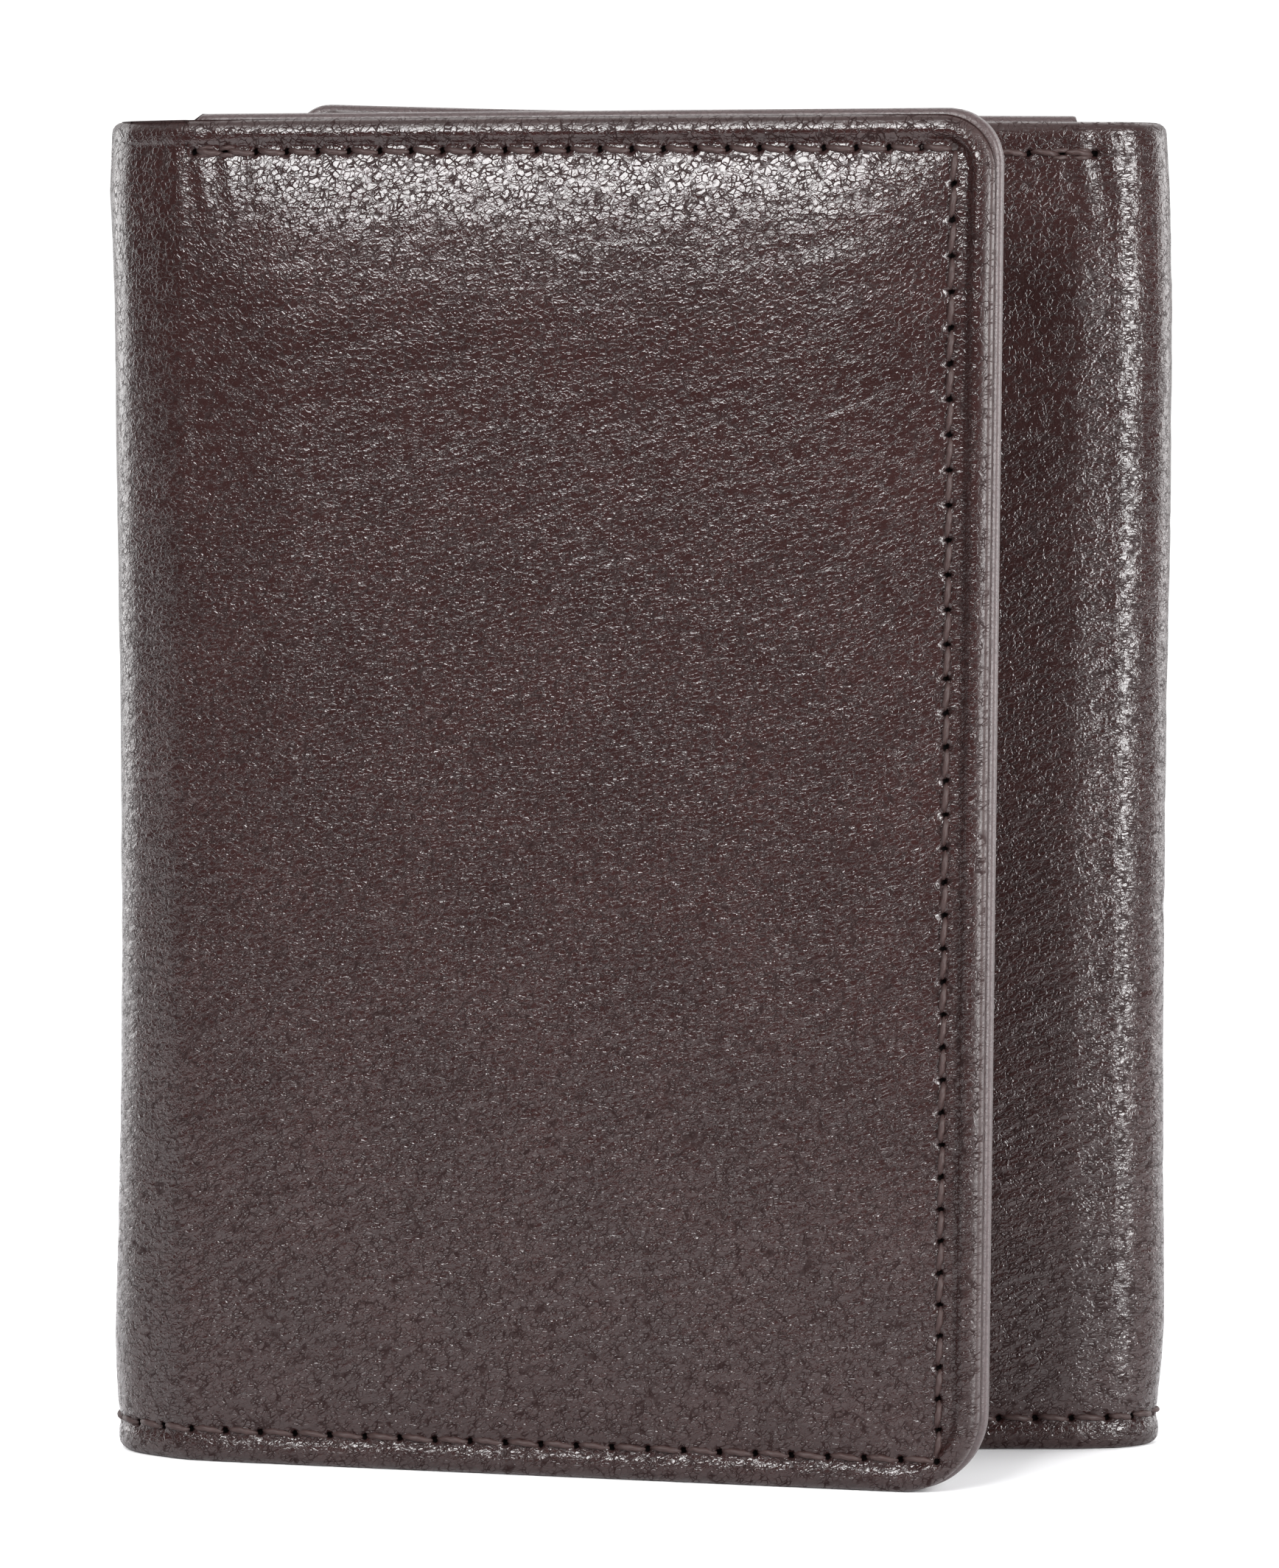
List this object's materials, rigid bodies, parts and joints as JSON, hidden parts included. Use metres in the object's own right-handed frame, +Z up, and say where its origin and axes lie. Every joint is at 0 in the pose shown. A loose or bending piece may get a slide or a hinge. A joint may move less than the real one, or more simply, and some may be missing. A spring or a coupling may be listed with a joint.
{
  "type": "trifold wallet",
  "caption": "Trifold leather wallet standing on its bottom edge, front flap ajar over a folded-in second flap; inside are card pockets, a note pocket and an identity window.",
  "frame": {"origin": "middle of the bottom of the overall box at rest, with the front flap ajar", "axes": "+X to the right seen from the front, +Y towards the rear face, +Z up the height of the wallet"},
  "size_m": [0.0857, 0.0303, 0.108],
  "materials": {
    "shell_leather": "dark brown grained leather, satin",
    "inner_leather": "dark brown smooth leather, satin",
    "pocket_lining": "dark woven lining",
    "stiffener_board": "plain pressed board",
    "thread": "waxed polyester thread",
    "clear_film": "clear flexible film"
  },
  "bodies": {
    "centre_panel": {"back_panel_leather": "shell_leather", "note_pocket_rear_lining": "pocket_lining", "note_pocket_front_lining": "pocket_lining", "centre_inner_panel": "inner_leather", "id_window_film": "clear_film", "id_window_frame": "inner_leather", "centre_bottom_stitching": "thread"},
    "left_fold_rear": {"left_fold_rear_leather": "shell_leather", "left_fold_rear_inner_leather": "inner_leather", "left_fold_rear_stitching": "thread"},
    "left_fold_front": {"left_fold_front_leather": "shell_leather", "left_fold_front_inner_leather": "inner_leather", "left_fold_front_stitching": "thread"},
    "front_flap": {"front_flap_leather": "shell_leather", "front_flap_stiffener": "stiffener_board", "front_flap_inner_panel": "inner_leather", "front_flap_tall_card_pocket": "inner_leather", "front_flap_middle_card_pocket": "inner_leather", "front_flap_short_card_pocket": "inner_leather", "front_flap_stitching": "thread", "front_flap_bar_tack": "thread"},
    "right_fold": {"right_fold_leather": "shell_leather", "right_fold_inner_leather": "inner_leather", "right_fold_stitching": "thread"},
    "second_flap": {"second_flap_leather": "shell_leather", "second_flap_stiffener": "stiffener_board", "second_flap_inner_panel": "inner_leather", "second_flap_tall_card_pocket": "inner_leather", "second_flap_middle_card_pocket": "inner_leather", "second_flap_short_card_pocket": "inner_leather", "second_flap_stitching": "thread", "second_flap_bar_tack": "thread"}
  },
  "joints": [
    {"name": "left_fold_rear_crease", "type": "hinge", "parent": "centre_panel", "child": "left_fold_rear", "pos_m": [-0.03904, 0.01391, 0.054], "axis": [0, 0, -1], "range_deg": [0, 60]},
    {"name": "left_fold_middle_crease", "type": "hinge", "parent": "left_fold_rear", "child": "left_fold_front", "pos_m": [-0.04224, 0.00838, 0.054], "axis": [0, 0, -1], "range_deg": [0, 60]},
    {"name": "front_flap_crease", "type": "hinge", "parent": "left_fold_front", "child": "front_flap", "pos_m": [-0.03904, 0.00285, 0.054], "axis": [0, 0, -1], "range_deg": [-14.1, 45.9]},
    {"name": "right_fold_rear_crease", "type": "hinge", "parent": "centre_panel", "child": "right_fold", "pos_m": [0.04111, 0.01364, 0.054], "axis": [0, 0, 1], "range_deg": [0, 24]},
    {"name": "right_fold_front_crease", "type": "hinge", "parent": "right_fold", "child": "second_flap", "pos_m": [0.04111, 0.00752, 0.054], "axis": [0, 0, 1], "range_deg": [0, 24]}
  ],
  "couplings": [
    {"joint": "left_fold_middle_crease", "follows": "left_fold_rear_crease", "ratio": 1},
    {"joint": "right_fold_rear_crease", "follows": "left_fold_rear_crease", "ratio": 0.4},
    {"joint": "right_fold_front_crease", "follows": "left_fold_rear_crease", "ratio": 0.4}
  ]
}
